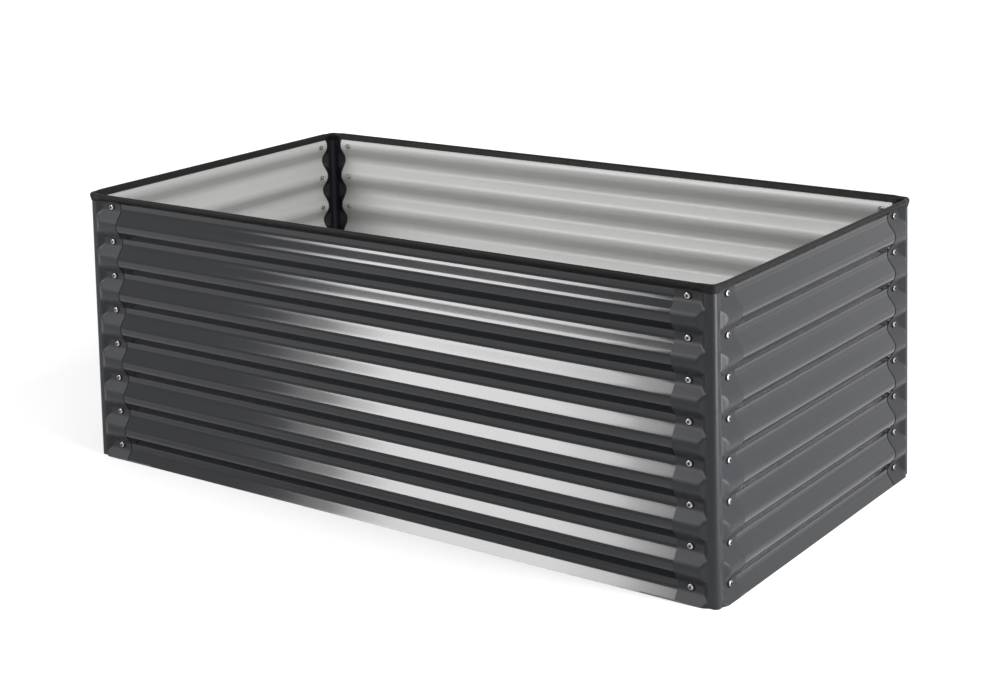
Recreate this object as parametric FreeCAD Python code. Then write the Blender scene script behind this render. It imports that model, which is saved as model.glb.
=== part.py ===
"""Raised garden bed: four corrugated steel wall panels, four fluted corner posts, a rubber edge trim and
the screws and nuts that clamp each post to its two panels. Millimetres, +Z up, the origin on the ground
at the middle of the bed. The bed is longest along X, and its front wall faces -Y."""

import FreeCAD
import Part

import math
import os

from FreeCAD import Vector

# Driving dimensions of the bed
LENGTH = 1572.0          # along X, over the crests of the corner posts
WIDTH = 838.0            # along Y, over the crests of the corner posts
VALLEYS = 8              # valleys in each wall, each with a screw in every column
PITCH = 76.0             # height from one valley to the next
RIM_SHARE = 0.33         # from the top valley up to the sheets' top edge, as a share of the pitch
BASE_SHARE = 0.37        # from the bottom valley down to the ground, as a share of the pitch

# The wave: each crest and valley is three flats, a crown between two shoulders, joined by the flanks
WAVE_DEPTH = 18.0        # from crest to valley, on one side of the sheet
BEND_HEIGHT = 16.0       # of a crest or valley, over its crown and shoulders
CROWN_HEIGHT = 7.2       # of the upright flat in the middle of each crest and valley
SHOULDER_LEAN = 2 / 3    # a shoulder's slope from the upright, as a share of the flank's

# Sheets, measured outwards from the face of the panel that nests in the post
PANEL_SHEET = 0.8        # thickness of a wall panel
POST_SHEET = 0.8         # thickness of a corner post
NEST_GAP = 0.15          # coat of paint between a panel and the post outside it

# Corner post, measured along a wall from the middle plane of the wave in the wall that it meets
POST_LEG = 85.0          # to the free edge of the leg
POST_BEND_RADIUS = 11.0  # outer radius of the upright bend
FLUTE_END = 33.0         # from here to the free edge the flutes have their full depth
PANEL_END = 34.0         # to the cut end of the panel inside the post
SCREW_COLUMN = 58.0      # to the column of screws

# Rubber edge trim, measured from the sheets' top edge
TRIM_LEG = 14.0          # length of each leg down the sheet
TRIM_LIP = 1.1           # thickness of a leg at its lower end
TRIM_CROWN = 3.4         # height of the top above the sheets' edge
TRIM_CROWN_WIDTH = 6.0
TRIM_SHOULDER = 10.0     # width across the shoulders, where the trim is widest
TRIM_SHOULDER_DROP = 2.0 # from the sheets' edge down to the shoulders
TRIM_FIT = 0.35          # room on each side of the clamped sheets
TRIM_BEND_STEPS = 5      # straight lengths round each corner of the bed
TRIM_JOINT = 0.6         # gap where the strip's two ends meet, in the middle of the back wall

# Screws and nuts
SHANK_WIDTH = 6.0        # across flats
HOLE_WIDTH = 6.6         # across flats
HEAD_WIDTH = 12.5        # across flats
HEAD_TOP_WIDTH = 7.5
HEAD_HEIGHT = 3.4
ROUND_SIDES = 6          # flats that each round head, shank and hole is drawn with
NUT_WIDTH = 10.0         # across flats
NUT_HEIGHT = 5.0
SEAT_GAP = 0.05          # air under each head and nut, and above the sheets inside the trim

FLATNESS = 1e-6          # volume that four corners may span and still count as flat

# Worked out from the driving dimensions
SHEETS = NEST_GAP + POST_SHEET
CREST_PLANE = WAVE_DEPTH / 2 + SHEETS
MIDDLE_X = LENGTH / 2 - CREST_PLANE
MIDDLE_Y = WIDTH / 2 - CREST_PLANE
BOTTOM_VALLEY = BASE_SHARE * PITCH
TOP_VALLEY = BOTTOM_VALLEY + (VALLEYS - 1) * PITCH
RIM = TOP_VALLEY + RIM_SHARE * PITCH
BEND_CENTRE = POST_BEND_RADIUS - SHEETS
UP = Vector(0, 0, 1)
ORIGIN = Vector(0, 0, 0)

# Walls in order round the bed, each a quarter turn further than the one before: its half length and its
# distance from the origin, both to the middle planes of the waves
WALLS = {
    "front": (MIDDLE_X, MIDDLE_Y),
    "right": (MIDDLE_Y, MIDDLE_X),
    "back": (MIDDLE_X, MIDDLE_Y),
    "left": (MIDDLE_Y, MIDDLE_X),
}

# The corner posts, each at the end of the wall of the same place in the order above
POST_NAMES = ("front_right", "back_right", "back_left", "front_left")


def wave_rise(flank):
    """Depth of half a wave, from its middle plane to a crown, for flanks that slope by this angle."""
    shoulder = (BEND_HEIGHT - CROWN_HEIGHT) / 2 * math.tan(flank * SHOULDER_LEAN)
    return shoulder + (PITCH / 2 - BEND_HEIGHT) / 2 * math.tan(flank)


def solve_flank():
    """Slope of the flanks from the upright that gives the wave its depth, by halving the interval."""
    low = 0.0
    high = math.radians(80)
    for _ in range(50):
        middle = (low + high) / 2
        if wave_rise(middle) < WAVE_DEPTH / 2:
            low = middle
        else:
            high = middle
    return low


FLANK = solve_flank()
SHOULDER = FLANK * SHOULDER_LEAN
RIM_OUT = (RIM - TOP_VALLEY - PITCH / 4) * math.tan(FLANK)
NUT_SEAT = -PANEL_SHEET - SEAT_GAP
SCREW_HEIGHTS = [BOTTOM_VALLEY + index * PITCH for index in range(VALLEYS)]


def on_front(along, out, height):
    """Point of a wall in the front wall's place: along is +X, and out lies outside the wave's middle plane."""
    return Vector(along, -out, height)


def bend_corners(index, offset):
    """Corners of one crest or valley in a face that lies offset outside the nesting face, from below up.
    Each is its place out, its height, and its height in the plain corner where the flute has faded out."""
    outward = 1 if index % 2 else -1
    centre = BOTTOM_VALLEY + index * PITCH / 2
    shoulder_out = WAVE_DEPTH / 2 - (BEND_HEIGHT - CROWN_HEIGHT) / 2 * math.tan(SHOULDER)
    faded_below = centre - PITCH / 4
    faded_above = centre + PITCH / 4
    if centre == TOP_VALLEY:
        faded_above = RIM - (RIM - centre - BEND_HEIGHT / 2) / math.cos(FLANK)
    corners = []
    for rise, out, below, above, faded in (
        (-BEND_HEIGHT / 2, shoulder_out, FLANK, SHOULDER, faded_below),
        (-CROWN_HEIGHT / 2, WAVE_DEPTH / 2, SHOULDER, 0, faded_below),
        (CROWN_HEIGHT / 2, WAVE_DEPTH / 2, 0, -SHOULDER, faded_above),
        (BEND_HEIGHT / 2, shoulder_out, -SHOULDER, -FLANK, faded_above),
    ):
        lean = outward * (below + above) / 2
        mitre = offset / math.cos((below - above) / 2)
        corners.append((
            outward * out + mitre * math.cos(lean),
            centre + rise - mitre * math.sin(lean),
            faded,
        ))
    return corners


def face_corners(offset):
    """Corners of one face of a fluted sheet, cut level at the ground and at the rim. A further one in the
    top flank marks how far down the trim grips, so that trim and sheet twist alike beside the corner."""
    wave = []
    for index in range(-1, 2 * VALLEYS):
        wave += bend_corners(index, offset)
    corners = []
    for (out_below, below, _), (out_above, above, faded) in zip(wave, wave[1:]):
        for level, level_faded in ((0, 0), (RIM - TRIM_LEG * math.cos(FLANK), RIM - TRIM_LEG), (RIM, RIM)):
            if below < level <= above:
                share = (level - below) / (above - below)
                corners.append((out_below + share * (out_above - out_below), level, level_faded))
        if 0 < above < RIM:
            corners.append((out_above, above, faded))
    return corners


def fluted_outline(along, inner, outer):
    """Outline of a fluted sheet whose faces lie inner and outer outside the nesting face."""
    corners = face_corners(outer) + face_corners(inner)[::-1]
    return [on_front(along, out, height) for out, height, _ in corners]


def faded_outline(along, inner, outer):
    """The same outline where the flutes have faded out, so that corners of the wave share their places."""
    outside = [on_front(along, outer, faded) for _, _, faded in face_corners(outer)]
    inside = [on_front(along, inner, faded) for _, _, faded in face_corners(inner)]
    return outside + inside[::-1]


def flat_face(corners):
    """Flat face with these corners. Corners in a row that share a place count once."""
    places = [here for here, last in zip(corners, corners[-1:] + corners[:-1]) if here != last]
    return Part.Face(Part.makePolygon(places + places[:1]))


def side_faces(corners):
    """Faces over four corners: none on a line, one where they are flat, else four round their middle."""
    places = [here for here, last in zip(corners, corners[-1:] + corners[:-1]) if here != last]
    if len(places) < 3:
        return []
    twist = (places[1] - places[0]).cross(places[2] - places[0]).dot(places[-1] - places[0])
    if abs(twist) < FLATNESS:
        return [flat_face(places)]
    middle = (places[0] + places[1] + places[2] + places[3]) / 4
    return [flat_face([middle, here, after]) for here, after in zip(places, places[1:] + places[:1])]


def skinned(outlines):
    """Solid that runs through flat outlines with as many corners each, in the same order."""
    faces = [flat_face(outlines[0]), flat_face(outlines[-1])]
    for first, second in zip(outlines, outlines[1:]):
        for index in range(len(first)):
            faces += side_faces([first[index - 1], first[index], second[index], second[index - 1]])
    solid = Part.Solid(Part.Shell(faces))
    if solid.Volume < 0:
        solid.reverse()
    return solid


def round_outline(width, height):
    """Corners of a regular outline over the origin at this height, a side towards +Y, across flats."""
    radius = width / 2 / math.cos(math.pi / ROUND_SIDES)
    corners = []
    for index in range(ROUND_SIDES):
        angle = math.pi / 2 + (index + 0.5) * 2 * math.pi / ROUND_SIDES
        corners.append(Vector(radius * math.cos(angle), radius * math.sin(angle), height))
    return corners


def through_sheet(solid, along, out, height):
    """Copy of a solid that stands on +Z, laid to point out of the front wall from this place."""
    laid = solid.copy()
    laid.rotate(ORIGIN, Vector(1, 0, 0), 90)
    laid.translate(on_front(along, out, height))
    return laid


def at_wall(shape, wall):
    """Shape from the front wall's place at the origin moved to one of the four walls."""
    moved = shape.copy()
    moved.translate(Vector(0, -WALLS[wall][1], 0))
    moved.rotate(ORIGIN, UP, 90 * list(WALLS).index(wall))
    return moved


def outline_at_wall(outline, wall):
    """Corners from the front wall's place at the origin moved to one of the four walls."""
    turn = FreeCAD.Rotation(UP, 90 * list(WALLS).index(wall))
    return [turn.multVec(corner - Vector(0, WALLS[wall][1], 0)) for corner in outline]


def drilled(sheet, columns):
    """Sheet with a screw hole in every valley, in columns this far along the wall."""
    drill = skinned([round_outline(HOLE_WIDTH, -WAVE_DEPTH), round_outline(HOLE_WIDTH, 0)])
    return sheet.cut([through_sheet(drill, along, 0, height) for along in columns for height in SCREW_HEIGHTS])


def panel(half_span):
    """Corrugated wall panel, in the front wall's place, ending inside the posts at both sides."""
    end = half_span - PANEL_END
    column = half_span - SCREW_COLUMN
    sheet = flat_face(fluted_outline(-end, -PANEL_SHEET, 0)).extrude(Vector(2 * end, 0, 0))
    return drilled(sheet, (-column, column))


def across_corner(shape):
    """Mirror image of a shape across the diagonal of the corner at the +X end of the front wall."""
    return shape.mirror(ORIGIN, Vector(1, 1, 0))


def corner_post():
    """Corner post at the +X end of the front wall, about the crossing of the two walls' middle planes.
    The flutes of its legs nest outside the panels' and fade out before the plain upright bend."""
    fluted = fluted_outline(-FLUTE_END, NEST_GAP, SHEETS)
    faded = faded_outline(-BEND_CENTRE, NEST_GAP, SHEETS)
    leg = flat_face(fluted).extrude(Vector(FLUTE_END - POST_LEG, 0, 0))
    half = drilled(leg, [-SCREW_COLUMN]).fuse(skinned([fluted, faded]))
    edge = [on_front(-BEND_CENTRE, out, height) for out, height in (
        (NEST_GAP, 0), (SHEETS, 0), (SHEETS, RIM), (NEST_GAP, RIM))]
    bend = flat_face(edge).revolve(Vector(-BEND_CENTRE, BEND_CENTRE, 0), UP, 90)
    return bend.fuse([half, across_corner(half)])


def trim_outline(along, rim_out, lean):
    """Outline of the edge trim across the sheets' edge, with the slot that grips them, leaning outwards.
    Its corners are measured along the trim's own width and height, from the middle of the sheets' edge."""
    slot = (SHEETS + PANEL_SHEET) / 2 + TRIM_FIT
    slot_top = (SHEETS + PANEL_SHEET) / 2 * math.tan(FLANK) + SEAT_GAP
    half = [
        (slot, slot_top),
        (slot, -TRIM_LEG),
        (slot + TRIM_LIP, -TRIM_LEG),
        (TRIM_SHOULDER / 2, -TRIM_SHOULDER_DROP),
        (TRIM_CROWN_WIDTH / 2, TRIM_CROWN),
    ]
    across = half + [(-width, height) for width, height in half[::-1]]
    edge_out = rim_out + (SHEETS - PANEL_SHEET) / 2 / math.cos(lean)
    outline = []
    for width, height in across:
        out = edge_out + width * math.cos(lean) + height * math.sin(lean)
        outline.append(on_front(along, out, RIM - width * math.sin(lean) + height * math.cos(lean)))
    return outline


def trim_run(wall):
    """Outlines of the trim along one wall and round the corner at its end, in their places on the bed.
    It leans with the flutes' flank and stands upright at the corners."""
    half_span = WALLS[wall][0]
    corner = trim_outline(half_span - BEND_CENTRE, 0, 0)
    centre = Vector(half_span - BEND_CENTRE, BEND_CENTRE, 0)
    run = [
        trim_outline(BEND_CENTRE - half_span, 0, 0),
        trim_outline(FLUTE_END - half_span, RIM_OUT, FLANK),
        trim_outline(half_span - FLUTE_END, RIM_OUT, FLANK),
        corner,
    ]
    for step in range(1, TRIM_BEND_STEPS):
        turn = FreeCAD.Rotation(UP, 90 * step / TRIM_BEND_STEPS)
        run.append([centre + turn.multVec(place - centre) for place in corner])
    return [outline_at_wall(outline, wall) for outline in run]


def edge_trim():
    """Rubber trim, one strip round the whole rim, whose two ends meet in the middle of the back wall."""
    start = outline_at_wall(trim_outline(TRIM_JOINT / 2, RIM_OUT, FLANK), "back")
    end = outline_at_wall(trim_outline(-TRIM_JOINT / 2, RIM_OUT, FLANK), "back")
    back = trim_run("back")
    loop = [start] + back[2:] + trim_run("left") + trim_run("front") + trim_run("right") + back[:2] + [end]
    return skinned(loop)


def screw():
    """Button-head screw in a valley of the post, with its shank through both sheets to the nut."""
    flat = CROWN_HEIGHT / 2 - SHEETS * math.tan(SHOULDER / 2)
    seat = SHEETS + (HEAD_WIDTH / 2 - flat) * math.tan(SHOULDER) + SEAT_GAP
    head = skinned([round_outline(HEAD_WIDTH, seat), round_outline(HEAD_TOP_WIDTH, seat + HEAD_HEIGHT)])
    shank = skinned([round_outline(SHANK_WIDTH, NUT_SEAT), round_outline(SHANK_WIDTH, seat)])
    return head.fuse(shank)


def nut():
    """Nut on the inner face of the panel, over the end of the screw."""
    return skinned([round_outline(NUT_WIDTH, NUT_SEAT - NUT_HEIGHT), round_outline(NUT_WIDTH, NUT_SEAT)])


def column(solid, along):
    """Copies of a screw or nut in a wall's valleys, one above the other, this far along the wall."""
    return [through_sheet(solid, along, -WAVE_DEPTH / 2, height) for height in SCREW_HEIGHTS]


def nodes():
    """Every named piece or group of like pieces, in its place on the bed."""
    pieces = {"edge_trim": edge_trim()}
    names = list(WALLS)
    for index, wall in enumerate(names):
        half_span = WALLS[wall][0]
        before = names[index - 1]
        after = names[(index + 1) % len(names)]
        pieces[wall + "_panel"] = at_wall(panel(half_span), wall)
        post = corner_post()
        post.translate(Vector(half_span, 0, 0))
        pieces["corner_post_" + POST_NAMES[index]] = at_wall(post, wall)
        for neighbour, side in ((before, -1), (after, 1)):
            along = side * (half_span - SCREW_COLUMN)
            screws = Part.makeCompound(column(screw(), along))
            nuts = Part.makeCompound(column(nut(), along))
            pieces["screws_" + wall + "_by_" + neighbour] = at_wall(screws, wall)
            pieces["nuts_" + wall + "_by_" + neighbour] = at_wall(nuts, wall)
    return pieces


os.makedirs("parts", exist_ok=True)
for name, shape in nodes().items():
    shape.exportStep("parts/" + name + ".step")
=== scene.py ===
"""A raised garden bed of corrugated steel, dressed over the frame of its construction model: rolled wall
panels, pressed corner posts, a rubber edge trim, screws and nuts, and a plain studio round it.
Metres throughout. The bed is longest along X, and its front wall faces -Y."""

import math

import bmesh
import bpy
from bpy.props import FloatProperty, FloatVectorProperty, IntProperty, PointerProperty
from mathutils import Matrix, Vector


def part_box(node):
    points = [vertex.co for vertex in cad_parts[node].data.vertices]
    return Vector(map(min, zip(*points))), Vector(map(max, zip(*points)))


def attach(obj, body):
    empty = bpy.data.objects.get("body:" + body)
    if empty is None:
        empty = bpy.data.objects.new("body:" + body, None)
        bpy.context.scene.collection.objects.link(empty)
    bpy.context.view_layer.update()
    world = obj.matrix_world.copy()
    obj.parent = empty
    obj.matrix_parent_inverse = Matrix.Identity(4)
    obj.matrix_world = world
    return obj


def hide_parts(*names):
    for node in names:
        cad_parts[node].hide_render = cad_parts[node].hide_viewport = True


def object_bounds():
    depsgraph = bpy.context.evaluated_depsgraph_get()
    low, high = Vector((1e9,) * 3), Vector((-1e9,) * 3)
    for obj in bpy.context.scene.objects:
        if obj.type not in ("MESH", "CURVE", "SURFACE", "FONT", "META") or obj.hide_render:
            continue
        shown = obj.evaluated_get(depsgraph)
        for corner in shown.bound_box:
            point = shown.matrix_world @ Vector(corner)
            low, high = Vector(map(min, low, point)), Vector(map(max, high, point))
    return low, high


bl_info = {
    "name": "Raised Garden Bed",
    "version": (1, 0, 0),
    "blender": (4, 5, 0),
    "location": "3D View > Sidebar > Garden Bed",
    "description": "Dresses a corrugated steel raised garden bed and sets up its studio",
    "category": "Object",
}

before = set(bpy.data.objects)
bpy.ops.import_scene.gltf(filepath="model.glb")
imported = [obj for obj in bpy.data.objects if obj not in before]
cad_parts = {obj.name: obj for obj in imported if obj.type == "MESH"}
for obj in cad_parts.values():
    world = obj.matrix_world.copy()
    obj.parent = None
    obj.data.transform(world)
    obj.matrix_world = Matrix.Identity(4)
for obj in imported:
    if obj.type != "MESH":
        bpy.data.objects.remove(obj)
CAD_LOW, CAD_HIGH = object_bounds()

BODY = "root"
UP = Vector((0, 0, 1))

# The walls in order round the bed, each a quarter turn further, and the post at the end of each
WALLS = ("front", "right", "back", "left")
POSTS = ("front_right", "back_right", "back_left", "front_left")

# Steps that the smooth forms are drawn with
ROW_HEIGHT = 0.002       # of the faces up a sheet
PANEL_COLUMNS = 12       # columns of faces along a panel
PRESS_STEPS = 22         # columns where a post's flutes fade out
LEG_STEPS = 4            # columns in the rest of a post's leg
BEND_STEPS = 12          # columns round a post's upright bend
TRIM_TURN_STEPS = 10     # lengths of trim where it turns upright, and round each corner
CROWN_STEPS = 6          # from the trim's widest line to the middle of its crown
HEAD_SEGMENTS = 24       # round a screw's head and a nut
DOME_STEPS = 4           # rings up the dome of a screw's head

# Degrees between two faces beyond which their edge is drawn sharp
SHEET_CREASE = 50        # also in the trim
HEAD_CREASE = 38
NUT_CREASE = 30

# Slots of the materials: a sheet's first is its outer side
INSIDE = 1
# The cut edges' slot is dark, partly the edges' own colour and partly painted shade of the gap beside them
CUT_EDGE_AND_SHADE = 2
ZINC = 0
# The socket's slot takes a dark steel that is painted shade of the recess
SOCKET_SHADE = 1
WASHER = 2

# Where a post's flutes end
PRESS_FULLNESS = 0.8     # exponent of the ramps, which rise sooner below 1
LEAST_BLEND = 0.000001   # keeps the softness of a crease above zero

# Section of the trim, beside the sizes among the settings
TRIM_ROOM = 0.0002       # on each side of the sheets
TRIM_ROOF = 0.0007       # from the sheets' edges up to the inside top
TRIM_MOUTH = 0.0016      # height in which the slot opens out at its lower end
TRIM_SHOULDER = 0.0028   # from the sheets' edges down to the widest line
LIP_SWELL = 1.6          # thickness of a lip, as a share of that at its end,
LIP_SWELL_DEPTH = 0.8    # at this share of its leg
WAIST = 0.44             # share of the trim's width from its middle,
WAIST_DEPTH = 0.42       # at this share of its leg
CROWN_FULLNESS = 0.7     # exponent of the crown, which is fuller than an ellipse below 1

# Screws, beside the sizes among the settings. The first three are shares of the head's radius.
WASHER_FACE = 1.24       # where the washer's flat sides end
WASHER_RIM = 1.30        # its widest line
WASHER_INSIDE = 0.96     # where the head stands on it
WASHER_HEIGHT = 0.0007
HEAD_FOOT = 0.0003       # from the washer to where the head is widest
HEAD_BRIM = 0.0009       # from the washer to where its dome begins
DOME_STEP = 17           # degrees from one ring of the dome to the next
DOME_FULLNESS = 0.75     # exponent of the dome, which is fuller than an ellipse below 1
SOCKET_LEAD = 0.0004     # that the socket is wider at its mouth
SOCKET_LEAD_DEPTH = 0.0003
SOCKET_WALL_DEPTH = 0.0019
SOCKET_DEPTH = 0.0024
SOCKET_POINT = 0.15      # radius of its deepest ring, as a share of its width
SCREW_SEAT = 0.0008      # that a flat washer stands above the middle of a hollow valley
SCREW_TURN = 47          # degrees from the turn of one screw to the next

# Nuts, beside the sizes among the settings. The last two are shares of the thread's width.
NUT_FOOT = 0.0004        # height of the chamfer on the seat
NUT_CHAMFER = 0.0006     # height of the chamfer at the top
NUT_FACE = 0.49          # radius of the flat top, as a share of the nut's width
BORE_DEPTH = 0.0004      # of the countersink round the thread
THREAD_SHOULDER = 0.0003  # from the nut's top to where the thread's end is rounded off
THREAD_TIP = 0.0008      # from the nut's top to the thread's end
BORE = 0.58              # radius of the countersink
THREAD_POINT = 0.36      # radius of the thread's end

# Where the noise texture has most of its values
NOISE_LOW = 0.3
NOISE_HIGH = 0.7

# The softboxes that streak the front wall stand side by side: from X, to X, share of the full power
STREAK_PARTS = (
    (-2.70, -2.45, 0.18),
    (-2.45, -2.28, 0.65),
    (-2.28, -1.38, 1.0),
    (-1.38, -1.13, 0.85),
    (-1.13, -0.92, 0.42),
)
STREAK_PLANE = -2.55             # Y of their middles
STREAK_MIDDLE = 2.28             # height of their middles
STREAK_HEIGHT = 1.26             # of each softbox from its lower to its upper edge
STREAK_FALL = math.radians(33)   # how far they face below the horizon

# The other softboxes: place, what they face, width, height
SIDE_SOFTBOX = ((2.3, 2.2, 1.1), (0.8, 0, 0.4), 2.4, 2.0)
CORNER_SOFTBOX = ((1.7, -0.30, 0.35), (0.79, -0.42, 0.3), 0.45, 0.68)
TOP_SOFTBOX = ((2.2, 0.1, 2.5), (-0.6, 0.1, 0.3), 2.2, 2.0)

FLOOR_REACH = 14.0               # from its middle to its sides
FLOOR_DROP = 0.0005              # below the bed's feet
FLOOR_COLOUR = (0.74, 0.74, 0.74)
FLOOR_GLOW = ((1.9, 0.15), (4.5, 0.85))   # distance from the bed's middle and strength, near and far
SENSOR_WIDTH = 36.0              # of the camera, in millimetres


# Settings

class BedSizes(bpy.types.PropertyGroup):
    """Sizes of the sheets, the trim and the fasteners."""

    pitch: FloatProperty(
        name="Pitch", description="Height from one valley of the sheets to the next",
        default=0.076, unit="LENGTH")
    valleys: IntProperty(
        name="Valleys", description="Valleys in each wall, with a screw in each", default=8, min=1)
    bottom_valley: FloatProperty(
        name="Bottom valley", description="Height of the lowest valley above the ground",
        default=0.02812, unit="LENGTH")
    wave_depth: FloatProperty(
        name="Wave depth", description="From crest to valley on one side of a sheet",
        default=0.018, unit="LENGTH")
    flank_angle: FloatProperty(
        name="Flank angle", description="Slope of the sheets' flanks from the upright",
        default=math.radians(36.0), subtype="ANGLE")
    panel_sheet: FloatProperty(
        name="Panel sheet", description="Thickness of a wall panel",
        default=0.0008, unit="LENGTH")
    post_sheet: FloatProperty(
        name="Post sheet", description="Thickness of a corner post",
        default=0.0008, unit="LENGTH")
    nest_gap: FloatProperty(
        name="Nest gap", description="Between a panel and the post outside it",
        default=0.00015, unit="LENGTH")
    post_leg: FloatProperty(
        name="Post leg", description="From the corner to the free edge of a post's leg",
        default=0.085, unit="LENGTH")
    post_bend: FloatProperty(
        name="Post bend", description="Outer radius of a post's upright bend",
        default=0.011, unit="LENGTH")
    press_start: FloatProperty(
        name="Press start", description="From the corner to where a post's flutes begin",
        default=0.0165, unit="LENGTH")
    press_end: FloatProperty(
        name="Press end", description="From the corner to where a post's flutes have their full depth",
        default=0.035, unit="LENGTH")
    press_blend: FloatProperty(
        name="Press blend", description="Softness of the creases where the flutes end",
        default=0.006, unit="LENGTH")
    panel_end: FloatProperty(
        name="Panel end", description="From the corner to the cut end of a panel",
        default=0.034, unit="LENGTH")
    screw_column: FloatProperty(
        name="Screw column", description="From the corner to a column of screws",
        default=0.058, unit="LENGTH")
    trim_leg: FloatProperty(
        name="Trim leg", description="Depth of the trim down the sheets",
        default=0.014, unit="LENGTH")
    trim_crown: FloatProperty(
        name="Trim crown", description="Height of the trim above the sheets",
        default=0.0034, unit="LENGTH")
    trim_width: FloatProperty(
        name="Trim width", description="Widest measure across the trim",
        default=0.0098, unit="LENGTH")
    trim_lip: FloatProperty(
        name="Trim lip", description="Thickness of the trim's lower lips",
        default=0.0011, unit="LENGTH")
    trim_joint: FloatProperty(
        name="Trim joint", description="Gap where the trim's ends meet",
        default=0.0006, unit="LENGTH")
    head_width: FloatProperty(
        name="Head width", description="Diameter of a screw's head",
        default=0.0122, unit="LENGTH")
    head_height: FloatProperty(
        name="Head height", description="Height of a screw's head and its washer",
        default=0.0033, unit="LENGTH")
    socket_width: FloatProperty(
        name="Socket width", description="Across the flats of a screw's socket",
        default=0.0046, unit="LENGTH")
    nut_width: FloatProperty(
        name="Nut width", description="Across the flats of a nut",
        default=0.0098, unit="LENGTH")
    nut_height: FloatProperty(
        name="Nut height", description="Thickness of a nut",
        default=0.0042, unit="LENGTH")
    thread_width: FloatProperty(
        name="Thread width", description="Diameter of a screw's thread",
        default=0.006, unit="LENGTH")


class BedColours(bpy.types.PropertyGroup):
    """Colours of the bed's finishes."""

    panel_paint: FloatVectorProperty(
        name="Panel paint", description="Satin paint on the outer side of the panels",
        default=(0.0060, 0.0067, 0.0088), size=3, subtype="COLOR", min=0, max=1)
    post_paint: FloatVectorProperty(
        name="Post paint", description="Matt paint on the corner posts",
        default=(0.0062, 0.0070, 0.0092), size=3, subtype="COLOR", min=0, max=1)
    primer: FloatVectorProperty(
        name="Primer", description="Pale coat on the inner side of the panels",
        default=(0.34, 0.34, 0.331), size=3, subtype="COLOR", min=0, max=1)
    # Dark partly as the edges' own colour and partly as painted shade of the gap along the sheets' free
    # edges
    cut_edge_and_shade: FloatVectorProperty(
        name="Cut edge and painted shade", description="Edges of the sheets",
        default=(0.012, 0.012, 0.013), size=3, subtype="COLOR", min=0, max=1)
    rubber: FloatVectorProperty(
        name="Rubber", description="Rubber of the edge trim and the washers",
        default=(0.004, 0.004, 0.0043), size=3, subtype="COLOR", min=0, max=1)
    screw_zinc: FloatVectorProperty(
        name="Screw zinc", description="Plating of the screws",
        default=(0.31, 0.30, 0.29), size=3, subtype="COLOR", min=0, max=1)
    # Dark colour of the sockets: painted shade of the recess, darker than the screws' own steel
    socket: FloatVectorProperty(
        name="Socket", description="Steel inside the screws' sockets",
        default=(0.05, 0.05, 0.05), size=3, subtype="COLOR", min=0, max=1)
    nut_zinc: FloatVectorProperty(
        name="Nut zinc", description="Plating of the nuts",
        default=(0.36, 0.35, 0.325), size=3, subtype="COLOR", min=0, max=1)


class BedStudio(bpy.types.PropertyGroup):
    """Camera and lamps."""

    camera_place: FloatVectorProperty(
        name="Camera place", description="Where the camera stands",
        default=(2.4275, -3.3476, 1.4758), size=3, subtype="TRANSLATION")
    camera_azimuth: FloatProperty(
        name="Camera azimuth", description="Turn of the camera round the bed from its front",
        default=math.radians(35.468), subtype="ANGLE")
    camera_fall: FloatProperty(
        name="Camera fall", description="How far the camera looks below the horizon",
        default=math.radians(6.510), subtype="ANGLE")
    camera_roll: FloatProperty(
        name="Camera roll", description="Lean of the camera to one side",
        default=math.radians(-1.285), subtype="ANGLE")
    camera_lens: FloatProperty(
        name="Camera lens", description="Focal length in millimetres on a 36 mm wide sensor",
        default=71.33)
    camera_shift: FloatProperty(
        name="Camera shift", description="Upward shift of the lens as a share of the width",
        default=-0.35)
    front_lamp: FloatProperty(
        name="Front lamp", description="Power of a square metre of the softboxes that streak the front wall",
        default=64.0)
    side_lamp: FloatProperty(
        name="Side lamp", description="Power of the softbox on the right",
        default=10.0)
    corner_lamp: FloatProperty(
        name="Corner lamp", description="Power of the small softbox beside the nearest corner",
        default=16.0)
    top_lamp: FloatProperty(
        name="Top lamp", description="Power of the softbox overhead",
        default=105.0)
    room_light: FloatProperty(
        name="Room light", description="Strength of the plain light from all round",
        default=0.55)


# Places on the bed

def wall_run(wall):
    """Half the length of a wall and its distance from the middle of the bed, to the middle of the waves."""
    sizes = bpy.context.scene.bed_sizes
    crest = sizes.wave_depth / 2 + sizes.nest_gap + sizes.post_sheet
    half_length = (CAD_HIGH.x - CAD_LOW.x) / 2 - crest
    half_width = (CAD_HIGH.y - CAD_LOW.y) / 2 - crest
    return (half_length, half_width) if wall in ("front", "back") else (half_width, half_length)


def to_wall(wall):
    """Matrix from a wall drawn at the origin, facing -Y, to its place on the bed."""
    turn = Matrix.Rotation(math.radians(90 * WALLS.index(wall)), 4, "Z")
    return turn @ Matrix.Translation((0, -wall_run(wall)[1], 0))


def wall_ends():
    """Both ends of each wall: the wall, the wall that it meets there, and how far along its screws are."""
    sizes = bpy.context.scene.bed_sizes
    for index, wall in enumerate(WALLS):
        for side, neighbour in ((-1, WALLS[index - 1]), (1, WALLS[(index + 1) % len(WALLS)])):
            yield wall, neighbour, side * (wall_run(wall)[0] - sizes.screw_column)


def rim_height():
    """Height of the sheets' top edges."""
    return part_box("front_panel")[1].z


def valley_heights():
    """Heights of the valleys, each with a screw."""
    sizes = bpy.context.scene.bed_sizes
    return [sizes.bottom_valley + index * sizes.pitch for index in range(sizes.valleys)]


# The shape of the sheets

def ease(share):
    """Smooth step from 0 to 1."""
    share = min(max(share, 0), 1)
    return share * share * (3 - 2 * share)


def bend_radius(sizes):
    """Radius of each crest and valley that gives flanks of the set angle the set depth."""
    rise = sizes.pitch / 4 * math.tan(sizes.flank_angle) - sizes.wave_depth / 2
    return rise / (1 / math.cos(sizes.flank_angle) - 1)


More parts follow.
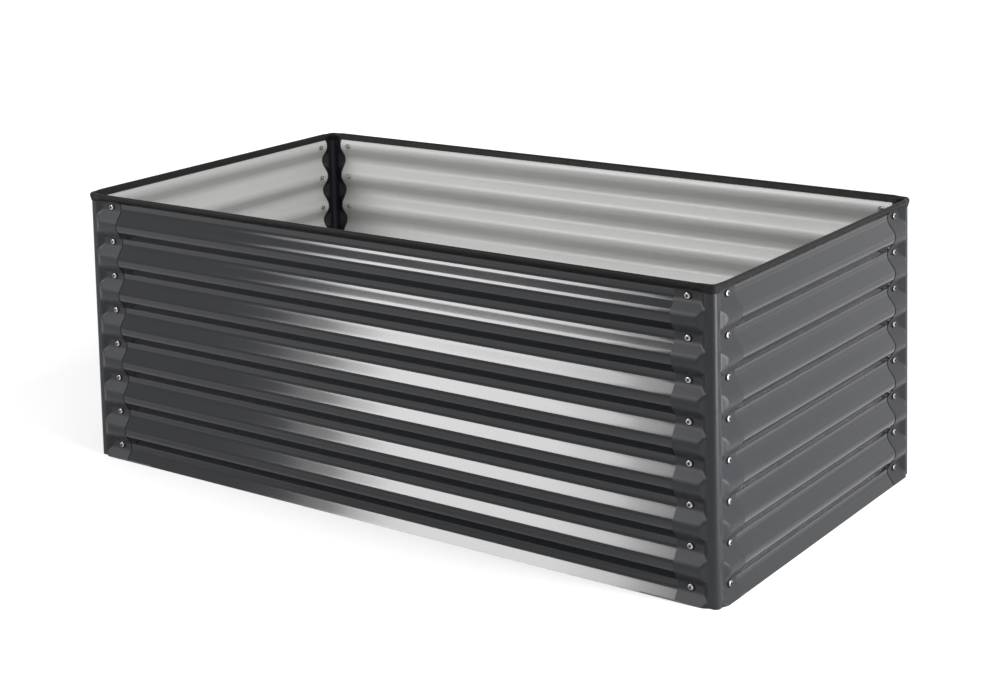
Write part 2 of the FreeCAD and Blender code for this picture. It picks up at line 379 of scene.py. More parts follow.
def wave_out(sizes, height):
    """How far the rolled wave lies outside its middle plane at a height: arcs joined by straight flanks."""
    bend = (height - sizes.bottom_valley) / (sizes.pitch / 2)
    side = 1 if round(bend) % 2 else -1
    away = abs(bend - round(bend)) * sizes.pitch / 2
    radius = bend_radius(sizes)
    reach = radius * math.sin(sizes.flank_angle)
    if away < reach:
        drop = radius - math.sqrt(radius * radius - away * away)
    else:
        drop = radius * (1 - math.cos(sizes.flank_angle)) + (away - reach) * math.tan(sizes.flank_angle)
    return side * (sizes.wave_depth / 2 - drop)


def pressed_out(sizes, height, along):
    """The wave in a corner post's leg: it is held between two soft ramps that rise from the flat corner, and
    a blend rounds the crease where wave and ramp meet."""
    out = wave_out(sizes, height)
    share = (along - sizes.press_start) / (sizes.press_end - sizes.press_start)
    share = min(max(share, 0), 1)
    depth = sizes.wave_depth / 2 * ease(share) ** PRESS_FULLNESS
    blend = min(sizes.press_blend * (1 - share), depth) + LEAST_BLEND
    overlap = max(0, blend - abs(abs(out) - depth)) / blend
    held = min(abs(out), depth) - overlap * overlap * blend / 4
    return math.copysign(max(0, held), out)


def sheet(columns, out_at, lift, thickness):
    """Mesh of a sheet that stands on the ground, with slots for its outer side, its inner side and its cut
    edges. Each column is its foot, its outward direction and its distance along the wall."""
    rim = rim_height()
    steps = len(columns) - 1
    mesh = bmesh.new()
    bmesh.ops.create_grid(mesh, x_segments=steps, y_segments=round(rim / ROW_HEIGHT), size=0.5)
    for vert in mesh.verts:
        foot, outward, along = columns[round((vert.co.x + 0.5) * steps)]
        height = (vert.co.y + 0.5) * rim
        vert.co = foot + outward * out_at(height, along) + UP * height
    mesh.normal_update()
    for vert in mesh.verts:
        vert.co += vert.normal * lift
    inner = bmesh.ops.solidify(mesh, geom=mesh.faces[:], thickness=thickness)["geom"]
    inside = {face for face in inner if isinstance(face, bmesh.types.BMFace)}
    mesh.normal_update()
    for vert in mesh.verts:
        vert.co.z = min(max(vert.co.z, 0), rim)
    for face in mesh.faces:
        face.smooth = True
        if face in inside:
            face.material_index = INSIDE
    mark_cut_edges(mesh)
    return mesh


def mark_cut_edges(mesh):
    """Gives the narrow faces round a thickened sheet their own slot, whose dark finish is partly painted
    shade, and sharp borders.
    """
    for edge in mesh.edges:
        if len(edge.link_faces) == 2 and edge.calc_face_angle(0) > math.radians(SHEET_CREASE):
            edge.smooth = False
    for face in mesh.faces:
        sharp = sum(not edge.smooth for edge in face.edges)
        if sharp >= 2:
            face.material_index = CUT_EDGE_AND_SHADE


def shade_faceted(mesh, limit):
    """Smooth faces with a sharp edge wherever two of them meet at more than the limit in degrees."""
    bmesh.ops.recalc_face_normals(mesh, faces=mesh.faces)
    for face in mesh.faces:
        face.smooth = True
    for edge in mesh.edges:
        edge.smooth = edge.calc_face_angle(0) < math.radians(limit)


def panel_mesh(wall):
    """Corrugated wall panel."""
    sizes = bpy.context.scene.bed_sizes
    end = wall_run(wall)[0] - sizes.panel_end
    columns = []
    for step in range(PANEL_COLUMNS + 1):
        along = -end + 2 * end * step / PANEL_COLUMNS
        columns.append((Vector((along, 0, 0)), Vector((0, -1, 0)), along))
    return sheet(columns, lambda height, along: wave_out(sizes, height), 0, sizes.panel_sheet)


def bend_start(sizes):
    """From the crossing of two walls' middle planes to where the post's upright bend begins."""
    return sizes.post_bend - sizes.post_sheet - sizes.nest_gap


def post_columns(sizes):
    """Columns of a corner post round the crossing of its walls' middle planes, from leg to leg."""
    leg, press, start = sizes.post_leg, sizes.press_end, bend_start(sizes)
    places = [leg + (press - leg) * step / LEG_STEPS for step in range(LEG_STEPS)]
    places += [press + (start - press) * step / PRESS_STEPS for step in range(PRESS_STEPS)]
    columns = [(Vector((-along, 0, 0)), Vector((0, -1, 0)), along) for along in places]
    for step in range(BEND_STEPS + 1):
        angle = math.pi / 2 * step / BEND_STEPS
        outward = Vector((math.sin(angle), -math.cos(angle), 0))
        columns.append((Vector((-start, start, 0)) + outward * start, outward, 0))
    columns += [(Vector((0, along, 0)), Vector((1, 0, 0)), along) for along in reversed(places)]
    return columns


def post_mesh():
    """Corner post at the +X end of the front wall, round the crossing of the walls' middle planes."""
    sizes = bpy.context.scene.bed_sizes
    lift = sizes.nest_gap + sizes.post_sheet
    columns = post_columns(sizes)
    return sheet(columns, lambda height, along: pressed_out(sizes, height, along), lift, sizes.post_sheet)


# The edge trim

def trim_ring(mesh, sizes):
    """Closed ring of edges: the outline of the trim's section, across in X and up in Z, round the middle of
    the sheets' edge. Half of it runs from the slot down a leg, round the lip and up to the crown."""
    slot = (sizes.panel_sheet + sizes.post_sheet + sizes.nest_gap) / 2
    leg, lip = sizes.trim_leg, sizes.trim_lip
    half = [
        (slot + TRIM_ROOM, TRIM_ROOF),
        (slot + TRIM_ROOM, TRIM_MOUTH - leg),
        (slot + TRIM_ROOM * 2, -leg),
        (slot + lip, -leg),
        (slot + lip * LIP_SWELL, -leg * LIP_SWELL_DEPTH),
        (sizes.trim_width * WAIST, -leg * WAIST_DEPTH),
    ]
    for step in range(CROWN_STEPS):
        angle = math.radians(90 * step / CROWN_STEPS)
        half.append((sizes.trim_width / 2 * math.cos(angle) ** CROWN_FULLNESS,
                     (sizes.trim_crown + TRIM_SHOULDER) * math.sin(angle) - TRIM_SHOULDER))
    ring = half + [(0, sizes.trim_crown)] + [(-across, up) for across, up in reversed(half)]
    verts = [mesh.verts.new((across, 0, up)) for across, up in ring]
    return [mesh.edges.new((here, after)) for here, after in zip(verts, verts[1:] + verts[:1])]


def trim_place(along, lean):
    """Matrix that stands the trim's outline on the sheets' edge of the front wall at the origin. A lean of 1
    follows the sheets' flank and 0 is upright."""
    sizes = bpy.context.scene.bed_sizes
    rim = rim_height()
    flank_out = wave_out(sizes, rim)
    middle = (sizes.nest_gap + sizes.post_sheet - sizes.panel_sheet) / 2
    place = Matrix.Translation((along, -flank_out * lean - middle, rim))
    tip = Matrix.Rotation(sizes.flank_angle * lean, 4, "X")
    return place @ tip @ Matrix.Rotation(-math.pi / 2, 4, "Z")


def trim_places(wall):
    """Matrices of the trim along one wall and round the corner at its end, on the bed."""
    sizes = bpy.context.scene.bed_sizes
    half_span = wall_run(wall)[0]
    start = bend_start(sizes)
    turn = [step / TRIM_TURN_STEPS for step in range(TRIM_TURN_STEPS + 1)]
    reach = sizes.press_end - start
    places = [trim_place(-half_span + start + reach * share, ease(share)) for share in turn]
    places += [trim_place(half_span - start - reach * share, ease(share)) for share in reversed(turn)]
    centre = Matrix.Translation((half_span - start, start, 0))
    for share in turn[1:-1]:
        swing = Matrix.Rotation(math.pi / 2 * share, 4, "Z")
        places.append(centre @ swing @ centre.inverted() @ trim_place(half_span - start, 0))
    return [to_wall(wall) @ place for place in places]


def trim_mesh():
    """Rubber trim, one strip round the rim, whose ends meet in the middle of the back wall."""
    sizes = bpy.context.scene.bed_sizes
    back = trim_places("back")
    ends = [to_wall("back") @ trim_place(side * sizes.trim_joint / 2, 1) for side in (1, -1)]
    half = TRIM_TURN_STEPS + 1
    loop = [ends[0]] + back[half:]
    for wall in ("left", "front", "right"):
        loop += trim_places(wall)
    loop += back[:half] + [ends[1]]
    mesh = bmesh.new()
    ring = trim_ring(mesh, sizes)
    bmesh.ops.transform(mesh, matrix=loop[0], verts=mesh.verts)
    first = ring
    for before, after in zip(loop, loop[1:]):
        grown = bmesh.ops.extrude_edge_only(mesh, edges=ring)["geom"]
        verts = [part for part in grown if isinstance(part, bmesh.types.BMVert)]
        ring = [part for part in grown if isinstance(part, bmesh.types.BMEdge)]
        bmesh.ops.transform(mesh, matrix=after @ before.inverted(), verts=verts)
    for end in (first, ring):
        bmesh.ops.contextual_create(mesh, geom=end)
    shade_faceted(mesh, SHEET_CREASE)
    return mesh


# Screws and nuts, drawn standing on +Z from the seat of the head or nut

def round_at(radius):
    """Outline of a circle."""
    return lambda angle: radius


def hexagon_at(width):
    """Outline of a hexagon, by its measure across flats."""
    sector = math.pi / 3
    return lambda angle: width / 2 / math.cos((angle + 2 * math.pi) % sector - sector / 2)


def seat_ring(mesh, radius, slot):
    """Ring of edges round a flat disc on the seat."""
    bmesh.ops.create_circle(mesh, segments=HEAD_SEGMENTS, radius=radius)
    ring = mesh.edges[:]
    bmesh.ops.contextual_create(mesh, geom=ring, mat_nr=slot)
    return ring


def ring_out(mesh, edges, radius_at, height):
    """Extrudes a ring of edges into one of another outline at another height."""
    grown = bmesh.ops.extrude_edge_only(mesh, edges=edges)["geom"]
    for part in grown:
        if isinstance(part, bmesh.types.BMVert):
            angle = math.atan2(part.co.y, part.co.x)
            part.co = Vector((math.cos(angle), math.sin(angle), 0)) * radius_at(angle) + UP * height
    return [part for part in grown if isinstance(part, bmesh.types.BMEdge)]


def rings_out(mesh, ring, outlines, slot):
    """Extrudes a ring of edges through outlines, each with its height, and gives the new faces a slot."""
    known = set(mesh.faces)
    for radius_at, height in outlines:
        ring = ring_out(mesh, ring, radius_at, height)
    for face in mesh.faces:
        if face not in known:
            face.material_index = slot
    return ring


def screw_mesh(sizes):
    """Button head with a hexagonal socket, on a thin black washer."""
    radius = sizes.head_width / 2
    brim = WASHER_HEIGHT + HEAD_BRIM
    rise = sizes.head_height - WASHER_HEIGHT - HEAD_BRIM
    top = brim + rise
    washer = [
        (round_at(radius * WASHER_FACE), 0),
        (round_at(radius * WASHER_RIM), WASHER_HEIGHT / 2),
        (round_at(radius * WASHER_FACE), WASHER_HEIGHT),
        (round_at(radius * WASHER_INSIDE), WASHER_HEIGHT),
    ]
    head = [(round_at(radius), WASHER_HEIGHT + HEAD_FOOT), (round_at(radius), brim)]
    for step in range(1, DOME_STEPS + 1):
        lift = math.radians(DOME_STEP * step)
        head.append((round_at(radius * math.cos(lift) ** DOME_FULLNESS), brim + rise * math.sin(lift)))
    head.append((hexagon_at(sizes.socket_width + SOCKET_LEAD), top))
    socket = [
        (hexagon_at(sizes.socket_width), top - SOCKET_LEAD_DEPTH),
        (hexagon_at(sizes.socket_width), top - SOCKET_WALL_DEPTH),
        (round_at(sizes.socket_width * SOCKET_POINT), top - SOCKET_DEPTH),
    ]
    mesh = bmesh.new()
    ring = seat_ring(mesh, radius / 2, WASHER)
    for outlines, slot in ((washer, WASHER), (head, ZINC), (socket, SOCKET_SHADE)):
        ring = rings_out(mesh, ring, outlines, slot)
    bmesh.ops.contextual_create(mesh, geom=ring, mat_nr=SOCKET_SHADE)
    shade_faceted(mesh, HEAD_CREASE)
    return mesh


def nut_mesh(sizes):
    """Hexagonal nut with chamfered corners, and the rounded end of the screw in it."""
    top = sizes.nut_height
    thread = sizes.thread_width / 2
    outlines = [
        (round_at(sizes.nut_width / 2), 0),
        (hexagon_at(sizes.nut_width), NUT_FOOT),
        (hexagon_at(sizes.nut_width), top - NUT_CHAMFER),
        (round_at(sizes.nut_width * NUT_FACE), top),
        (round_at(sizes.thread_width * BORE), top),
        (round_at(thread), top - BORE_DEPTH),
        (round_at(thread), top + THREAD_SHOULDER),
        (round_at(sizes.thread_width * THREAD_POINT), top + THREAD_TIP),
    ]
    mesh = bmesh.new()
    ring = rings_out(mesh, seat_ring(mesh, thread, ZINC), outlines, ZINC)
    bmesh.ops.contextual_create(mesh, geom=ring, mat_nr=ZINC)
    shade_faceted(mesh, NUT_CREASE)
    return mesh


def column_mesh(pattern, out, facing_in, along):
    """Copies of a screw or nut in the valleys of a wall at the origin, one above the other."""
    stamp = bpy.data.meshes.new("stamp")
    pattern.to_mesh(stamp)
    pattern.free()
    mesh = bmesh.new()
    tip = Matrix.Rotation(math.radians(-90 if facing_in else 90), 4, "X")
    for index, height in enumerate(valley_heights()):
        known = len(mesh.verts)
        mesh.from_mesh(stamp)
        turn = Matrix.Rotation(math.radians(SCREW_TURN * index), 4, "Z")
        place = Matrix.Translation((along, -out, height)) @ tip @ turn
        bmesh.ops.transform(mesh, matrix=place, verts=mesh.verts[known:])
    bpy.data.meshes.remove(stamp)
    return mesh


# Finishes

def group_tree(name, inputs, outputs):
    """New shader node group with named inputs and outputs."""
    tree = bpy.data.node_groups.new(name, "ShaderNodeTree")
    for label, kind, value in inputs:
        socket = tree.interface.new_socket(name=label, in_out="INPUT", socket_type=kind)
        socket.default_value = value
    for label, kind in outputs:
        tree.interface.new_socket(name=label, in_out="OUTPUT", socket_type=kind)
    return tree


def add(tree, kind, **values):
    """Node of a kind with its settings."""
    node = tree.nodes.new(kind)
    for key, value in values.items():
        setattr(node, key, value)
    return node


def set_inputs(node, values):
    """Sets a node's named inputs."""
    for label, value in values.items():
        node.inputs[label].default_value = value


def grain_group():
    """Noise from -1 to 1 at a scale, on coordinates that are stretched by a vector."""
    name = "Grain"
    if name in bpy.data.node_groups:
        return bpy.data.node_groups[name]
    tree = group_tree(name, [
        ("Scale", "NodeSocketFloat", 100.0),
        ("Stretch", "NodeSocketVector", (1.0, 1.0, 1.0)),
        ("Detail", "NodeSocketFloat", 3.0),
    ], [("Value", "NodeSocketFloat")])
    entry = add(tree, "NodeGroupInput")
    leave = add(tree, "NodeGroupOutput")
    place = add(tree, "ShaderNodeTexCoord")
    stretch = add(tree, "ShaderNodeVectorMath", operation="MULTIPLY")
    noise = add(tree, "ShaderNodeTexNoise")
    spread = add(tree, "ShaderNodeMapRange")
    set_inputs(spread, {"From Min": NOISE_LOW, "From Max": NOISE_HIGH, "To Min": -1.0, "To Max": 1.0})
    tree.links.new(place.outputs["Object"], stretch.inputs[0])
    tree.links.new(entry.outputs["Stretch"], stretch.inputs[1])
    tree.links.new(stretch.outputs[0], noise.inputs["Vector"])
    tree.links.new(entry.outputs["Scale"], noise.inputs["Scale"])
    tree.links.new(entry.outputs["Detail"], noise.inputs["Detail"])
    tree.links.new(noise.outputs["Fac"], spread.inputs["Value"])
    tree.links.new(spread.outputs["Result"], leave.inputs["Value"])
    return tree


def drift_group():
    """Colour that drifts lighter and darker with a value from -1 to 1, by an amount."""
    name = "Colour drift"
    if name in bpy.data.node_groups:
        return bpy.data.node_groups[name]
    tree = group_tree(name, [
        ("Color", "NodeSocketColor", (0.5, 0.5, 0.5, 1.0)),
        ("Value", "NodeSocketFloat", 0.0),
        ("Amount", "NodeSocketFloat", 0.1),
    ], [("Color", "NodeSocketColor")])
    entry = add(tree, "NodeGroupInput")
    leave = add(tree, "NodeGroupOutput")
    gain = add(tree, "ShaderNodeMath", operation="MULTIPLY_ADD")
    gain.inputs[2].default_value = 1.0
    tint = add(tree, "ShaderNodeVectorMath", operation="SCALE")
    tree.links.new(entry.outputs["Value"], gain.inputs[0])
    tree.links.new(entry.outputs["Amount"], gain.inputs[1])
    tree.links.new(entry.outputs["Color"], tint.inputs[0])
    tree.links.new(gain.outputs[0], tint.inputs["Scale"])
    tree.links.new(tint.outputs[0], leave.inputs["Color"])
    return tree


def finish_material(name, colour, roughness, metallic=0.0, specular=0.5):
    """New material with its shader's own sockets set."""
    material = bpy.data.materials.new(name)
    material.use_nodes = True
    shader = material.node_tree.nodes["Principled BSDF"]
    set_inputs(shader, {"Base Color": (*colour, 1.0), "Roughness": roughness,
                        "Metallic": metallic, "Specular IOR Level": specular})
    return material, material.node_tree, shader


def grain(tree, scale, stretch=(1.0, 1.0, 1.0), detail=3.0):
    """Value output of a grain group with these settings."""
    node = add(tree, "ShaderNodeGroup", node_tree=grain_group())
    set_inputs(node, {"Scale": scale, "Stretch": stretch, "Detail": detail})
    return node.outputs["Value"]


def drift(tree, colour, value, amount):
    """Colour output of a drift group. The colour is three numbers or another node's output."""
    node = add(tree, "ShaderNodeGroup", node_tree=drift_group())
    node.inputs["Amount"].default_value = amount
    if isinstance(colour, bpy.types.NodeSocket):
        tree.links.new(colour, node.inputs["Color"])
    else:
        node.inputs["Color"].default_value = (*colour, 1.0)
    tree.links.new(value, node.inputs["Value"])
    return node.outputs["Color"]


def vary_colour(tree, shader, colour, *drifts):
    """Base colour that drifts with one value after another. Each drift is a value and its amount."""
    for value, amount in drifts:
        colour = drift(tree, colour, value, amount)
    tree.links.new(colour, shader.inputs["Base Color"])


def vary_roughness(tree, shader, value, middle, amount):
    """Roughness that varies about its middle by an amount."""
    node = add(tree, "ShaderNodeMath", operation="MULTIPLY_ADD", use_clamp=True)
    node.inputs[1].default_value = amount
    node.inputs[2].default_value = middle
    tree.links.new(value, node.inputs[0])
    tree.links.new(node.outputs[0], shader.inputs["Roughness"])


def bump(tree, shader, height, distance):
    """Raises the surface by a height value."""
    node = add(tree, "ShaderNodeBump")
    set_inputs(node, {"Strength": 1.0, "Distance": distance})
    tree.links.new(height, node.inputs["Height"])
    tree.links.new(node.outputs["Normal"], shader.inputs["Normal"])


def total(tree, first, second, second_share):
    """Sum of two values, the second by a share."""
    node = add(tree, "ShaderNodeMath", operation="MULTIPLY_ADD")
    node.inputs[1].default_value = second_share
    tree.links.new(second, node.inputs[0])
    tree.links.new(first, node.inputs[2])
    return node.outputs[0]


def paint_material(name, colour, roughness, specular, peel):
    """Coloured paint on steel: a slight orange peel, and soft patches of tone and gloss."""
    material, tree, shader = finish_material(name, colour, roughness, specular=specular)
    patches = grain(tree, scale=6.0, stretch=(0.35, 0.35, 1.0))
    specks = grain(tree, scale=900.0, detail=4.0)
    vary_colour(tree, shader, colour, (patches, 0.06), (specks, 0.06))
    vary_roughness(tree, shader, patches, roughness, amount=0.02)
    broad, fine = grain(tree, scale=90.0), grain(tree, scale=240.0)
    bump(tree, shader, total(tree, broad, fine, second_share=0.3), peel)
    return material


def primer_material(name, colour):
    """Pale coat inside the panels: faint streaks along the rolling direction and soft mottling."""
    roughness = 0.42
    material, tree, shader = finish_material(name, colour, roughness)
    streaks = grain(tree, scale=14.0, stretch=(0.25, 0.25, 6.0))
    mottle = grain(tree, scale=70.0, detail=5.0)
    vary_colour(tree, shader, colour, (streaks, 0.035), (mottle, 0.02))
    vary_roughness(tree, shader, mottle, roughness, amount=0.05)
    bump(tree, shader, grain(tree, scale=500.0), distance=0.00003)
    return material


def edge_material(name, colour):
    """Sheared edge of a painted sheet, with fine upright marks. Its dark colour is partly the edge's own and
    partly painted shade of the gap along the sheets' edges.
    """
    material, tree, shader = finish_material(name, colour, roughness=0.5)
    marks = grain(tree, scale=1200.0, stretch=(1.0, 1.0, 0.2))
    vary_colour(tree, shader, colour, (marks, 0.3))
    bump(tree, shader, marks, distance=0.00004)
    return material


def rubber_material(name, colour):
    """Moulded rubber: matt, with a fine grain and a dusty bloom."""
    roughness = 0.52
    material, tree, shader = finish_material(name, colour, roughness, specular=0.12)
    bloom = grain(tree, scale=40.0, detail=5.0)
    fine = grain(tree, scale=700.0)
    vary_colour(tree, shader, colour, (bloom, 0.12), (fine, 0.1))
    vary_roughness(tree, shader, bloom, roughness, amount=0.05)
    bump(tree, shader, fine, distance=0.00006)
    return material


def zinc_material(name, colour, roughness):
    """Plated steel with a crystal mottle and light scratches."""
    material, tree, shader = finish_material(name, colour, roughness, metallic=1.0)
    crystals = grain(tree, scale=600.0, detail=2.0)
    scratches = grain(tree, scale=300.0, stretch=(8.0, 1.0, 1.0))
    vary_colour(tree, shader, colour, (crystals, 0.12))
    vary_roughness(tree, shader, scratches, roughness, amount=0.08)
    bump(tree, shader, scratches, distance=0.00003)
    return material


def seen_white(tree):
    """Value output that is 1 where the camera, a reflection or a glass sees a surface, and 0 where it only
    lights others."""
    path = add(tree, "ShaderNodeLightPath")
    value = path.outputs["Is Camera Ray"]
    for ray in ("Is Glossy Ray", "Is Transmission Ray"):
        either = add(tree, "ShaderNodeMath", operation="MAXIMUM")
        tree.links.new(value, either.inputs[0])
        tree.links.new(path.outputs[ray], either.inputs[1])
        value = either.outputs[0]
    return value


def floor_material():
    """Pale studio floor: it shows white, keeps a soft shadow of the bed, and glows more where it lies far
    off."""
    material, tree, shader = finish_material("Studio floor", FLOOR_COLOUR, roughness=0.9, specular=0.0)
    vary_colour(tree, shader, FLOOR_COLOUR, (grain(tree, scale=3.0), 0.004))
    (near, near_glow), (far, far_glow) = FLOOR_GLOW
    place = add(tree, "ShaderNodeTexCoord")
    away = add(tree, "ShaderNodeVectorMath", operation="LENGTH")
    rise = add(tree, "ShaderNodeMapRange")
    set_inputs(rise, {"From Min": near, "From Max": far, "To Min": near_glow, "To Max": far_glow})
    level = add(tree, "ShaderNodeMath", operation="MULTIPLY")
    glow = add(tree, "ShaderNodeEmission")
    join = add(tree, "ShaderNodeAddShader")
    leave = tree.nodes["Material Output"]
    tree.links.new(place.outputs["Object"], away.inputs[0])
    tree.links.new(away.outputs["Value"], rise.inputs["Value"])
    tree.links.new(seen_white(tree), level.inputs[0])
    tree.links.new(rise.outputs["Result"], level.inputs[1])
    tree.links.new(level.outputs[0], glow.inputs["Strength"])
    tree.links.new(glow.outputs[0], join.inputs[0])
    tree.links.new(shader.outputs[0], join.inputs[1])
    tree.links.new(join.outputs[0], leave.inputs["Surface"])
    return material


def finish(name, make, *values, **settings):
    """The material of this name, made once."""
    return bpy.data.materials.get(name) or make(name, *values, **settings)


def cut_edge_and_shade():
    """Finish of every sheet's edges: partly their own dark colour, partly painted shade."""
    return finish("Cut edge and painted shade", edge_material, bpy.context.scene.bed_colours.cut_edge_and_shade)


def black_rubber():
    """Finish of the trim and the washers."""
    return finish("Black rubber", rubber_material, bpy.context.scene.bed_colours.rubber)


def panel_materials():
    """Slots of a panel: outside, inside, cut edge."""
    colours = bpy.context.scene.bed_colours
    paint = finish("Satin paint", paint_material, colours.panel_paint,
                   roughness=0.10, specular=0.36, peel=0.0000012)
    return [paint, finish("Pale primer", primer_material, colours.primer), cut_edge_and_shade()]


def post_materials():
    """Slots of a post: outside, inside, cut edge."""
    colours = bpy.context.scene.bed_colours
    paint = finish("Matt paint", paint_material, colours.post_paint,
                   roughness=0.44, specular=0.30, peel=0.000006)
    return [paint, paint, cut_edge_and_shade()]


def screw_materials():
    """Slots of a screw: zinc, the socket in dark steel that is painted shade of its recess, washer."""
    colours = bpy.context.scene.bed_colours
    return [
        finish("Bright zinc", zinc_material, colours.screw_zinc, roughness=0.24),
        # Dark steel in the sockets is painted shade of the recess
        finish("Socket painted shade", zinc_material, colours.socket, roughness=0.5),
        black_rubber(),
    ]


def nut_materials():
    """Slot of a nut."""
    return [finish("Dull zinc", zinc_material, bpy.context.scene.bed_colours.nut_zinc, roughness=0.18)]


# Pieces

def mesh_object(mesh, name, materials):
    """Object in the scene from a finished mesh, with its materials."""
    data = bpy.data.meshes.new(name)
    mesh.to_mesh(data)
    mesh.free()
    for material in materials:
        data.materials.append(material)
    thing = bpy.data.objects.new(name, data)
    bpy.context.scene.collection.objects.link(thing)
    return thing


def show_piece(mesh, name, place, materials, slot, *nodes):
    """Piece from a finished mesh, in its place on the bed, in the stead of its construction nodes."""
    bmesh.ops.transform(mesh, matrix=place, verts=mesh.verts)
    piece = mesh_object(mesh, name, materials)
    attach(piece, BODY)
    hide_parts(*nodes)


class BED_OT_panels(bpy.types.Operator):
    """Adds the four corrugated wall panels"""

    bl_idname = "bed.panels"
    bl_label = "Wall panels"

    def execute(self, context):
        for wall in WALLS:
            node = wall + "_panel"
            show_piece(panel_mesh(wall), "rolled_" + node, to_wall(wall), panel_materials(),
                       "panel_steel", node)
        return {"FINISHED"}


class BED_OT_posts(bpy.types.Operator):
    """Adds the four pressed corner posts"""

    bl_idname = "bed.posts"
    bl_label = "Corner posts"

    def execute(self, context):
        for wall, post in zip(WALLS, POSTS):
            node = "corner_post_" + post
            place = to_wall(wall) @ Matrix.Translation((wall_run(wall)[0], 0, 0))
            show_piece(post_mesh(), "pressed_" + node, place, post_materials(), "post_steel", node)
        return {"FINISHED"}


class BED_OT_trim(bpy.types.Operator):
    """Adds the rubber trim round the rim"""

    bl_idname = "bed.trim"
    bl_label = "Edge trim"

    def execute(self, context):
        place = Matrix.Identity(4)
        show_piece(trim_mesh(), "rubber_trim", place, [black_rubber()], "edge_rubber", "edge_trim")
        return {"FINISHED"}


class BED_OT_screws(bpy.types.Operator):
    """Adds the columns of screws at the ends of the walls"""

    bl_idname = "bed.screws"
    bl_label = "Screws"

    def execute(self, context):
        sizes = context.scene.bed_sizes
        out = sizes.nest_gap + sizes.post_sheet - sizes.wave_depth / 2 + SCREW_SEAT
        for wall, neighbour, along in wall_ends():
            node = "screws_" + wall + "_by_" + neighbour
            mesh = column_mesh(screw_mesh(sizes), out, False, along)
            show_piece(mesh, "button_" + node, to_wall(wall), screw_materials(), "screw_steel", node)
        return {"FINISHED"}


class BED_OT_nuts(bpy.types.Operator):
    """Adds the nuts inside the walls"""

    bl_idname = "bed.nuts"
    bl_label = "Nuts"

    def execute(self, context):
        sizes = context.scene.bed_sizes
        out = -sizes.panel_sheet - sizes.wave_depth / 2
        for wall, neighbour, along in wall_ends():
            node = "nuts_" + wall + "_by_" + neighbour
            mesh = column_mesh(nut_mesh(sizes), out, True, along)
            show_piece(mesh, "hex_" + node, to_wall(wall), nut_materials(), "nut_steel", node)
        return {"FINISHED"}


# The studio

def studio_floor():
    """Floor just below the bed's feet."""
    mesh = bmesh.new()
    bmesh.ops.create_grid(mesh, x_segments=2, y_segments=2, size=FLOOR_REACH)
    bmesh.ops.translate(mesh, vec=(0, 0, -FLOOR_DROP), verts=mesh.verts)
    floor = mesh_object(mesh, "studio_floor", [floor_material()])


def softbox(name, place, target, width, height, power):
    """Rectangular lamp that faces a target."""
    light = bpy.data.lights.new(name, "AREA")
    light.shape = "RECTANGLE"
    light.size = width
    light.size_y = height
    light.energy = power
    lamp = bpy.data.objects.new(name, light)
    lamp.location = place
    lamp.rotation_euler = (Vector(target) - Vector(place)).to_track_quat("-Z", "Y").to_euler()
    lamp.visible_camera = False
    bpy.context.scene.collection.objects.link(lamp)


def streak_softboxes(strength):
    """Row of softboxes that streak the front wall, with a power for each square metre."""
    for left, right, share in STREAK_PARTS:
        middle, width = (left + right) / 2, right - left
        place = (middle, STREAK_PLANE, STREAK_MIDDLE)
        target = (middle, 0, STREAK_MIDDLE + STREAK_PLANE * math.tan(STREAK_FALL))
        power = strength * share * width * STREAK_HEIGHT
        softbox("Front softbox", place, target, width, STREAK_HEIGHT, power)


def white_room(strength):
    """World that shows white to the camera and in reflections, and lights the bed softly from all round."""
    world = bpy.data.worlds.new("White room")
    world.use_nodes = True
    tree = world.node_tree
    back = tree.nodes["Background"]
    back.inputs["Color"].default_value = (1.0, 1.0, 1.0, 1.0)
    level = add(tree, "ShaderNodeMapRange")
    set_inputs(level, {"To Min": strength, "To Max": 1.0})
    tree.links.new(seen_white(tree), level.inputs["Value"])
    tree.links.new(level.outputs["Result"], back.inputs["Strength"])
    bpy.context.scene.world = world


def studio_camera(studio):
    """Camera at the photograph's place and angle."""
    data = bpy.data.cameras.new("Camera")
    data.sensor_width = SENSOR_WIDTH
    data.lens = studio.camera_lens
    data.shift_y = studio.camera_shift
    camera = bpy.data.objects.new("Camera", data)
    turn = Matrix.Rotation(studio.camera_azimuth, 4, "Z")
    tip = Matrix.Rotation(math.pi / 2 - studio.camera_fall, 4, "X")
    roll = Matrix.Rotation(studio.camera_roll, 4, "Z")
    camera.matrix_world = Matrix.Translation(studio.camera_place) @ turn @ tip @ roll
    bpy.context.scene.collection.objects.link(camera)
    bpy.context.scene.camera = camera


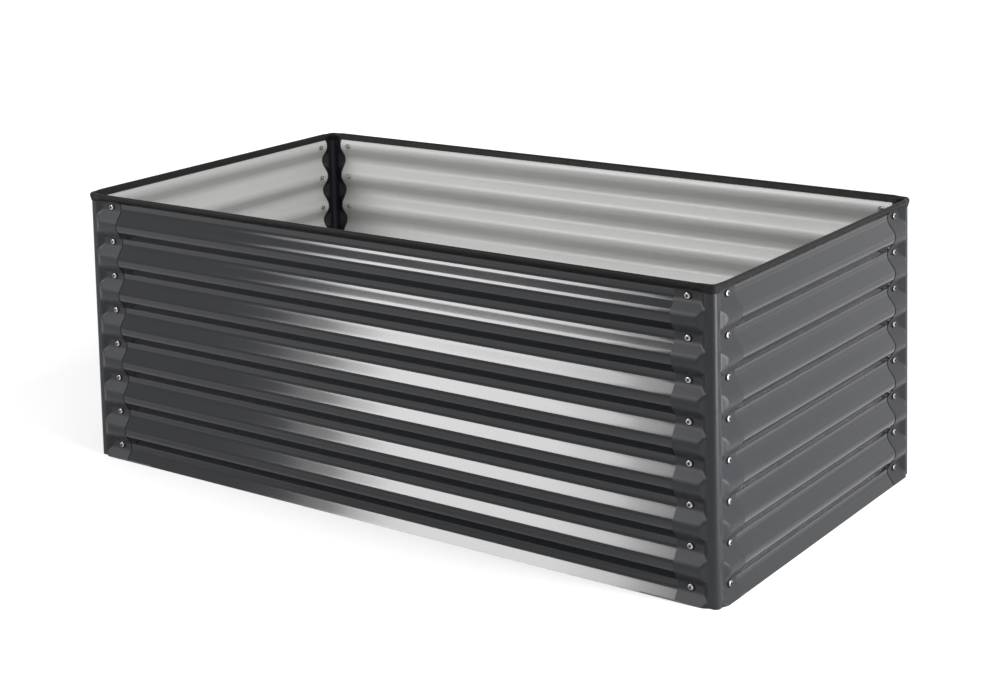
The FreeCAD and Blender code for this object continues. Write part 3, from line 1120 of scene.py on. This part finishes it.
class BED_OT_stage(bpy.types.Operator):
    """Adds the floor, the lamps and the camera"""

    bl_idname = "bed.stage"
    bl_label = "Studio"

    def execute(self, context):
        studio = context.scene.bed_studio
        studio_floor()
        white_room(studio.room_light)
        streak_softboxes(studio.front_lamp)
        softbox("Side softbox", *SIDE_SOFTBOX, studio.side_lamp)
        softbox("Corner softbox", *CORNER_SOFTBOX, studio.corner_lamp)
        softbox("Top softbox", *TOP_SOFTBOX, studio.top_lamp)
        studio_camera(studio)
        context.scene.view_settings.view_transform = "Standard"
        return {"FINISHED"}


class BED_PT_sidebar(bpy.types.Panel):
    """Buttons that build the bed, and its settings"""

    bl_idname = "BED_PT_sidebar"
    bl_label = "Garden Bed"
    bl_space_type = "VIEW_3D"
    bl_region_type = "UI"
    bl_category = "Garden Bed"

    def draw(self, context):
        layout = self.layout
        for operator in OPERATORS:
            layout.operator(operator.bl_idname)
        for group in (context.scene.bed_sizes, context.scene.bed_colours, context.scene.bed_studio):
            box = layout.box()
            for name in group.bl_rna.properties.keys():
                if name not in ("rna_type", "name"):
                    box.prop(group, name)


SETTINGS = {"bed_sizes": BedSizes, "bed_colours": BedColours, "bed_studio": BedStudio}
OPERATORS = (BED_OT_panels, BED_OT_posts, BED_OT_trim, BED_OT_screws, BED_OT_nuts, BED_OT_stage)


def register():
    """Registers the settings, the operators and the sidebar."""
    for name, group in SETTINGS.items():
        bpy.utils.register_class(group)
        setattr(bpy.types.Scene, name, PointerProperty(type=group))
    for operator in OPERATORS:
        bpy.utils.register_class(operator)
    bpy.utils.register_class(BED_PT_sidebar)


def unregister():
    """Removes them again."""
    bpy.utils.unregister_class(BED_PT_sidebar)
    for operator in reversed(OPERATORS):
        bpy.utils.unregister_class(operator)
    for name, group in SETTINGS.items():
        delattr(bpy.types.Scene, name)
        bpy.utils.unregister_class(group)


def main():
    """Builds the bed and its studio."""
    register()
    bpy.ops.bed.panels()
    bpy.ops.bed.posts()
    bpy.ops.bed.trim()
    bpy.ops.bed.screws()
    bpy.ops.bed.nuts()
    bpy.ops.bed.stage()


if __name__ == "__main__":
    main()
